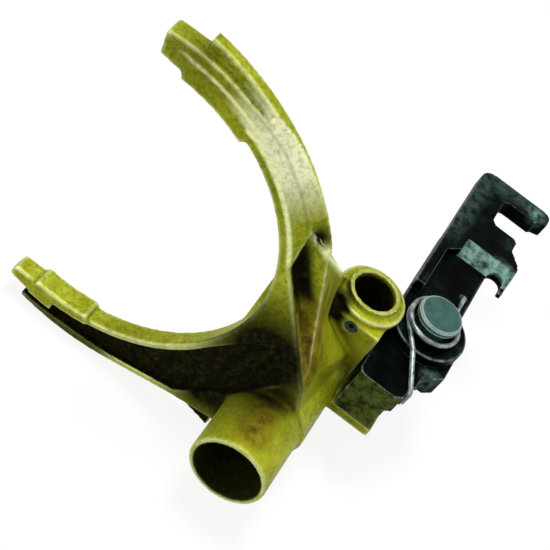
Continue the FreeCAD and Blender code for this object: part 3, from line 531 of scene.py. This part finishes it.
def edge_bend(mesh):
    """How far each vertex stands out of its neighbours, positive on outward edges."""
    places, normals = vertex_arrays(mesh)
    ends = np.empty(len(mesh.edges) * 2, dtype=np.int64)
    mesh.edges.foreach_get("vertices", ends)
    first, second = ends.reshape(-1, 2).T
    size = len(places)
    gap = places[second] - places[first]
    out_first = -np.einsum("ij,ij->i", gap, normals[first])
    out_second = np.einsum("ij,ij->i", gap, normals[second])
    count = np.bincount(ends, minlength=size).clip(1)
    bend = (np.bincount(first, out_first, size) + np.bincount(second, out_second, size)) / count
    for _ in range(BEND_SPREAD):
        total = np.bincount(first, bend[second], size) + np.bincount(second, bend[first], size)
        bend = 0.5 * bend + 0.5 * total / count
    return bend


def set_mark(mesh, name, values):
    """Keep one value per vertex, 0 to 1, as a named attribute."""
    attribute = mesh.attributes.get(name) or mesh.attributes.new(name, "FLOAT", "POINT")
    attribute.data.foreach_set("value", np.clip(values, 0, 1).astype(np.float32))


def dress(node, name, voxel, rounds, body, material, wear_from, wear_gain):
    """Soft copy of a node in its place, with its mark of wear and painted highlights, and its
    material.
    """
    piece = soften(merged_copy(node, name), voxel, rounds)
    piece.data.materials.append(material)
    bend = edge_bend(piece.data) / voxel
    # The mark on outward edges stands for wear and for painted highlights.
    set_mark(piece.data, "wear", (bend - wear_from) * wear_gain)
    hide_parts(node)
    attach(piece, body)
    print(name, len(piece.data.polygons), "faces, bend up to", round(float(bend.max()), 3))
    return piece


casting = dress("fork_casting", "bronze_casting", 0.45 * MM, 3, "fork", bronze,
                wear_from=0.04, wear_gain=8.0)

# %% [markdown]
# ## Where the casting is dark, stained and bright
#
# The sunk places of the casting are painted nearly black, mostly as shade and partly as burnt-in
# oil, and others are painted pale as light, sheen and highlights. One image could paint all
# this, but it would need a flat map of a very bent shape. Here each place is found by where it
# is, mostly by its distance and angle from the middle of the fork mouth, and by which way the
# skin faces, so a colour keeps to its face and stops at the rims. The origin lies on the rail's
# axis in the middle of the arms' thickness, and x runs along the rail.

# %% Places on the casting
# In millimetres: the mouth's middle in y and z, the boss's axis in x and y, its top in z.
MOUTH = (-53.4, 28.2)
BOSS_AXIS = (-28.7, 3.2)
BOSS_TOP = 22.5
RAIL_BORE = 8.0
BOSS_BORE = 5.2
FORK_FACE = 2.5
LINE_CORE = 0.4
BACK_LIMIT = -0.3


def band(values, low, high, fade):
    """1 between two limits and fading to 0 over a distance outside them."""
    return np.clip(np.minimum((values - low) / fade, (high - values) / fade) + 1, 0, 1)


def near(places, centre, radius):
    """1 at a point and fading to 0 at a radius from it, both in millimetres."""
    gap = np.linalg.norm(places / MM - np.array(centre), axis=1)
    return np.clip(1 - gap / radius, 0, 1)


def near_line(places, points, radius):
    """1 up to 0.4 of a radius from a line through points, fading to 0 at 1.4 of it."""
    best = np.full(len(places), np.inf)
    for start, end in zip(points, points[1:]):
        start, along = np.array(start), np.subtract(end, start)
        share = np.clip((places / MM - start) @ along / (along @ along), 0, 1)
        gap = np.linalg.norm(places / MM - start - share[:, None] * along, axis=1)
        best = np.minimum(best, gap)
    return np.clip(1 + LINE_CORE - best / radius, 0, 1)


places, normals = vertex_arrays(casting.data)
x, y, z = (places / MM).T
across, up = y - MOUTH[0], z - MOUTH[1]
reach = np.hypot(across, up)
turn = np.degrees(np.arctan2(up, across))
outward = (normals[:, 1] * across + normals[:, 2] * up) / reach
not_behind = normals[:, 0] > BACK_LIMIT
print("the casting lies", round(float(reach.min()), 1), "mm and more from the mouth's middle")

# %% [markdown]
# ## Painted shade and soot
#
# Shade is painted dark into the sunk web of the lower arm, the pocket beside the rib, the bores,
# the place under the boss flange, the front faces by the mouth and the corners round the tube, and
# the web also has burnt-in oil and dust. Each is a simple form in space with a soft edge, times a
# strength: above 1 it widens the part that counts in full. The strongest form counts at each
# vertex, so forms that overlap don't add up to black.

# %% Painted shade and soot in the web, painted shade in the bores and the pocket
# The bores are painted nearly black: painted shade.
BORE_SHADE = 0.93
BORE_FADE = 0.45
# The ridge between the web and the pocket is straight. These are its ends, in y and z.
RIDGE_TOP, RIDGE_FOOT = (-15.0, 42.0), (2.5, 15.2)
ridge_run = np.subtract(RIDGE_FOOT, RIDGE_TOP)
ridge_run = ridge_run / np.linalg.norm(ridge_run)
past_ridge = -(y - RIDGE_TOP[0]) * ridge_run[1] + (z - RIDGE_TOP[1]) * ridge_run[0]

# Skin that faces away from the mouth is part of the web only beside the inner rim, and the end
# face of the lower tip is left out.
inside_rims = (reach > 39.2) & ((outward < 0.35) | (reach < 40.6))
tip_end = (turn < -95) & (normals[:, 1] < -0.5)
# The web is darkened as painted shade under the inner rim and as burnt-in oil.
web = band(x, 0.0, FORK_FACE - 0.35, 0.1) * band(z, -20, 22, 5)
web = web * inside_rims * (y < 3) * not_behind * ~tip_end
rail_bore = band(np.hypot(y, z), 0, RAIL_BORE, BORE_FADE) * BORE_SHADE
from_boss_axis = np.hypot(x - BOSS_AXIS[0], y - BOSS_AXIS[1])
boss_bore = band(from_boss_axis, 0, BOSS_BORE, BORE_FADE) * band(z, 0, BOSS_TOP - 1.4, 0.7)
boss_bore = boss_bore * BORE_SHADE
# The pocket beside the ridge is painted dark: painted shade.
pocket = band(past_ridge, -2, 2.2, 2.2) * band(z, 36.5, 47, 3.5) * band(x, -7, 1.0, 0.6)
pocket = pocket * not_behind
print("sooty vertices of the web:", int((web > 0.5).sum()))

# %% Painted shade in corners and beside steps, a darker tip and a dark seam
front_half = x > 1.2
# Painted shadow under the boss flange, painted shade on the front faces of the mouth's root and
# the lower flange, and painted shade in the corners round the tube.
flange_shade = near(places, (-20.5, -2.8, 20.0), 4.6) * 1.8
root_face = near(places, (2.5, -8.0, 18), 22) * front_half * 1.45
tube_corner = near(places, (2.5, -15, -2), 15) * band(x, 1.2, 3.0, 0.3) * (reach > 42) * 1.5
lower_flange = band(turn, -112, -72, 6) * (reach > 42.9) * front_half * 0.75
# Darker towards the upper tip.
darker_tip = near(places, (2.5, -52.5, 72), 13) * 0.42
# The foot of the flange's step, with its painted shadow, and the seam, a thin dark line, are
# thin arcs round the mouth on the upper arm.
step_foot = band(reach, 44.55, 44.75, 0.25) * band(turn, 67, 90, 5) * (x > 0) * 0.55
# Painted shadow beside the tip of the rib.
rib_tip = near(places, (-0.9, -14.6, 51.0), 4) * (reach > 44.6) * 1.5
seam = band(reach, 43.8, 44.05, 0.3) * band(turn, 34, 66, 10) * (x > -1.5) * 0.28
shade_and_soot = np.max([web, rail_bore, boss_bore, pocket, flange_shade, root_face, tube_corner,
               lower_flange, darker_tip, step_foot, rib_tip, seam], axis=0)
set_mark(casting.data, "shade_and_soot", shade_and_soot)
print("sooty share of the casting:", round(float((shade_and_soot > 0.5).mean()), 3))

# %% [markdown]
# ## Stains, painted light and painted highlights
#
# Brown oil has run down the channel between arm and rib, over the bulge below it and along the
# tube. Light is painted onto the column, the tube and the bulge beside it. The upper arm gets a
# painted sheen on its flank, and painted highlights on its rims, the edge of its shoe and the
# crest of the rib. Those lines join the mark of wear and painted highlights, which dress() has
# already laid on the sharp edges.

# %% Stains and painted light
channel = band(past_ridge, -2, 3.2, 2.0) * band(z, 16, 35, 3) * band(x, -8, 1.0, 0.6)
channel = channel * not_behind * 1.3
bulge = near(places, (-12, -2.5, 27), 9) * 1.3
tube_stain = near_line(places, [(4.5, -2.6, 10.2), (13.5, -0.6, 10.5)], 4.2) * 1.1
set_mark(casting.data, "stain", np.max([channel, bulge, tube_stain], axis=0))
# Light is painted onto the column, the tube and the bulge.
column_light = near(places, (-19.6, 4, 14.5), 10) * 1.3
tube_light = near(places, (11, 3, 8), 14) * 1.1
bulge_light = near(places, (-14, 0, 24), 8) * 0.8
painted_light_mask = np.max([column_light, tube_light, bulge_light], axis=0)
set_mark(casting.data, "painted_light", painted_light_mask)
print("wiped share of the casting:", round(float((painted_light_mask > 0.5).mean()), 3))

# %% Bright rims and flank
# Points along the rib's crest, from its tip down to the boss.
RIB_LINE = [(-0.5, -16.0, 51.5), (-1.2, -13.1, 49.5), (-1.4, -10.6, 48.3), (-9.0, -8.6, 40.8),
            (-19.2, -6.3, 30.2), (-23.0, -5.5, 26.5)]
RIB_LINE_RADIUS = 1.2
# A sheen is painted on the upper arm's flank.
flank = band(reach, 40.9, 47, 0.8) * band(turn, 49, 62, 14) * (normals[:, 0] > 0.4)
set_mark(casting.data, "painted_sheen", flank * 0.95)
upper = band(turn, 22, 90, 3) * (x > 1.0)
# Highlights are painted along the rim, the shoe's edge and the rib's crest.
rim_line = band(reach, 40.2, 40.75, 0.4) * upper * (turn < 66)
shoe_line = band(reach, 41.9, 42.2, 0.3) * upper * (turn > 60)
rib_line = near_line(places, RIB_LINE, RIB_LINE_RADIUS)
worn_and_lit_edges = np.empty(len(places))
casting.data.attributes["wear"].data.foreach_get("value", worn_and_lit_edges)
bright = np.max([worn_and_lit_edges * 0.85, rim_line, shoe_line * 0.8, rib_line], axis=0)
set_mark(casting.data, "wear", bright)
print("pale share of the casting:", round(float((bright > 0.5).mean()), 3))

# %% [markdown]
# ## Steel bracket, lever and pins
#
# The bracket and lever are pressed and blackened steel with a little bare metal and painted
# highlights on their edges. They get the same soft copy as the casting, from smaller cubes,
# because pressed edges are crisper than cast ones, and the small pins get the smallest. The slope
# up to the jaws, the hook, the jaw tip and a notch of the bracket get painted teal highlights, a
# faint teal film runs along the lever's edge, and the bracket's front has an olive film of oil
# with a painted reflection of the bronze.

# %% Steel pieces
bracket = dress("selector_bracket", "steel_bracket", 0.25 * MM, 2, "fork",
                dark_steel, wear_from=0.04, wear_gain=7.0)
lever = dress("selector_lever", "steel_lever", 0.25 * MM, 2, "lever",
              dark_steel, wear_from=0.05, wear_gain=5.5)
dress("pivot_pin", "headed_pin", 0.20 * MM, 2, "fork",
      pin_steel, wear_from=0.02, wear_gain=12.0)
dress("cross_pin", "rolled_pin", 0.12 * MM, 2, "fork",
      pin_steel, wear_from=0.06, wear_gain=3.0)

# %% Oil, painted reflection and painted highlights of the steel
BRACKET_FRONT = -19 * MM
LEVER_EDGE = [(-66, 9.8, 20), (-74, 10.3, 20), (-89, 11, 20), (-92.5, 14, 20), (-92.6, 24, 20)]
LEVER_EDGE_RADIUS = 3.2

places, normals = vertex_arrays(bracket.data)
# The bracket's front is olive: an oil film and a painted reflection of the bronze.
front = (normals[:, 0] > 0.6) * (places[:, 0] > BRACKET_FRONT)
set_mark(bracket.data, "oil_and_reflection", front * 0.9)
# A highlight is painted on the bracket's lower notch.
set_mark(bracket.data, "highlight_and_film", near(places, (-26, 24.9, 12.1), 4) * 0.6)

places, normals = vertex_arrays(lever.data)
x, y, z = (places / MM).T
# Highlights are painted on the slope, the hook and the jaw tip; a faint teal film runs along the
# edge.
slope = band(x, -66.3, -61.9, 0.6) * (normals[:, 0] > 0.25) * (normals[:, 2] > 0.3) * (z > 17.3)
edge_film = near_line(places, LEVER_EDGE, LEVER_EDGE_RADIUS) * (normals[:, 2] > 0.6) * 0.15
hook = near(places, (-64, 26, 19), 5) * (z > 17.5)
jaw_tip = near(places, (-91.2, 26.5, 20), 4) * 0.8
set_mark(lever.data, "highlight_and_film", np.max([slope, edge_film, hook, jaw_tip], axis=0))
print("highlighted share of the lever:", round(float((slope > 0.5).mean()), 3))

# %% [markdown]
# ## Torsion spring
#
# The spring is one round wire: a short drop behind the bracket's step, a straight leg, nearly
# one and a half turns round the pin, and a second leg that turns down into a hole of the lever.
# A swept curve is the natural way to make a wire, and Geometry Nodes keep its thickness and its
# number of sides as named inputs, so a reader can change them without making the path again.

# %% Path of the wire
# In millimetres, with x and y from the pivot's axis. The hook is the bend at the end of the long
# leg, and the tang is the bend at the end of the short one.
PIVOT = np.array((-36.0, 18.7))
COIL_RADIUS = 6.3
COIL_TURNS = 1.4225
COIL_PITCH = 1.35
COIL_HEIGHT = 17.9
COIL_POINTS = 72
HOOK = np.array((18.4, 4.1, 14.7))
HOOK_DROP = 4.2
TANG = np.array((-14.6, 3.2, 17.9))
TANG_DROP = 3.2
LEVEL_SHARE = 0.45
BEND_RADIUS = 1.2
BEND_POINTS = 9
leave_angle = math.atan2(HOOK[1], HOOK[0]) - math.acos(COIL_RADIUS / math.hypot(HOOK[0], HOOK[1]))


def rounded(before, corner, after):
    """Points round a bend of the wire."""
    towards = (before - corner) / np.linalg.norm(before - corner) * BEND_RADIUS
    away = (after - corner) / np.linalg.norm(after - corner) * BEND_RADIUS
    return [corner + towards * (1 - t) ** 2 + away * t ** 2
            for t in np.linspace(0, 1, BEND_POINTS)]


def on_coil(angle_turned):
    """Point of the coil after an angle from where the long leg meets it."""
    angle = leave_angle - angle_turned
    height = COIL_HEIGHT + COIL_PITCH * angle_turned / (2 * math.pi)
    return np.array((COIL_RADIUS * math.cos(angle), COIL_RADIUS * math.sin(angle), height))


around = 2 * math.pi * COIL_TURNS
coil_start, coil_end = on_coil(0), on_coil(around)
hook_end = HOOK - (0, 0, HOOK_DROP)
tang_end = TANG - (0, 0, TANG_DROP)
level_end = coil_start + (HOOK - coil_start) * LEVEL_SHARE
level_end[2] = coil_start[2]
wire_path = [hook_end, *rounded(hook_end, HOOK, coil_start), level_end]
wire_path += [on_coil(angle) for angle in np.linspace(0, around, COIL_POINTS)]
wire_path += [*rounded(coil_end, TANG, tang_end), tang_end]
wire_path = np.array(wire_path) + (*PIVOT, 0)
wire_length = np.linalg.norm(np.diff(wire_path, axis=0), axis=1).sum()
print("wire path:", len(wire_path), "points,", round(float(wire_length), 1), "mm long")

# %% Curve for the wire
wire_curve = bpy.data.curves.new("wire_path", "CURVE")
wire_curve.dimensions = "3D"
spline = wire_curve.splines.new("POLY")
spline.points.add(len(wire_path) - 1)
for point, place in zip(spline.points, wire_path * MM):
    point.co = (*place, 1)
wire_source = bpy.data.objects.new("wire_spring", wire_curve)
scene.collection.objects.link(wire_source)
print("curve points:", len(spline.points))

# %% Wire by Geometry Nodes
WIRE_RADIUS = 0.6
WIRE_SIDES = 16


def wire_tree():
    """Node group that sweeps a round wire along a curve, and the names of its two inputs."""
    group = bpy.data.node_groups.new("round_wire", "GeometryNodeTree")
    add_socket = group.interface.new_socket
    add_socket("Geometry", in_out="INPUT", socket_type="NodeSocketGeometry")
    size = add_socket("Wire radius", in_out="INPUT", socket_type="NodeSocketFloat")
    sides = add_socket("Sides", in_out="INPUT", socket_type="NodeSocketInt")
    add_socket("Geometry", in_out="OUTPUT", socket_type="NodeSocketGeometry")
    inputs = group.nodes.new("NodeGroupInput")
    circle = group.nodes.new("GeometryNodeCurvePrimitiveCircle")
    sweep = group.nodes.new("GeometryNodeCurveToMesh")
    sweep.inputs["Fill Caps"].default_value = True
    smooth = group.nodes.new("GeometryNodeSetShadeSmooth")
    realize = group.nodes.new("GeometryNodeRealizeInstances")
    paint = group.nodes.new("GeometryNodeSetMaterial")
    paint.inputs["Material"].default_value = spring_steel
    output = group.nodes.new("NodeGroupOutput")
    for start, end in (
            (inputs.outputs["Wire radius"], circle.inputs["Radius"]),
            (inputs.outputs["Sides"], circle.inputs["Resolution"]),
            (inputs.outputs["Geometry"], sweep.inputs["Curve"]),
            (circle.outputs["Curve"], sweep.inputs["Profile Curve"]),
            (sweep.outputs["Mesh"], smooth.inputs["Geometry"]),
            (smooth.outputs["Geometry"], realize.inputs["Geometry"]),
            (realize.outputs["Geometry"], paint.inputs["Geometry"]),
            (paint.outputs["Geometry"], output.inputs["Geometry"])):
        group.links.new(start, end)
    return group, size.identifier, sides.identifier


group, size_socket, sides_socket = wire_tree()
sweep = wire_source.modifiers.new("round_wire", "NODES")
sweep.node_group = group
sweep[size_socket] = WIRE_RADIUS * MM
sweep[sides_socket] = WIRE_SIDES
swept = evaluated_mesh(wire_source)
bpy.data.objects.remove(wire_source)
spring = bpy.data.objects.new("wire_spring", swept)
scene.collection.objects.link(spring)
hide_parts("torsion_spring")
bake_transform(spring)
print("spring:", len(swept.polygons), "faces")
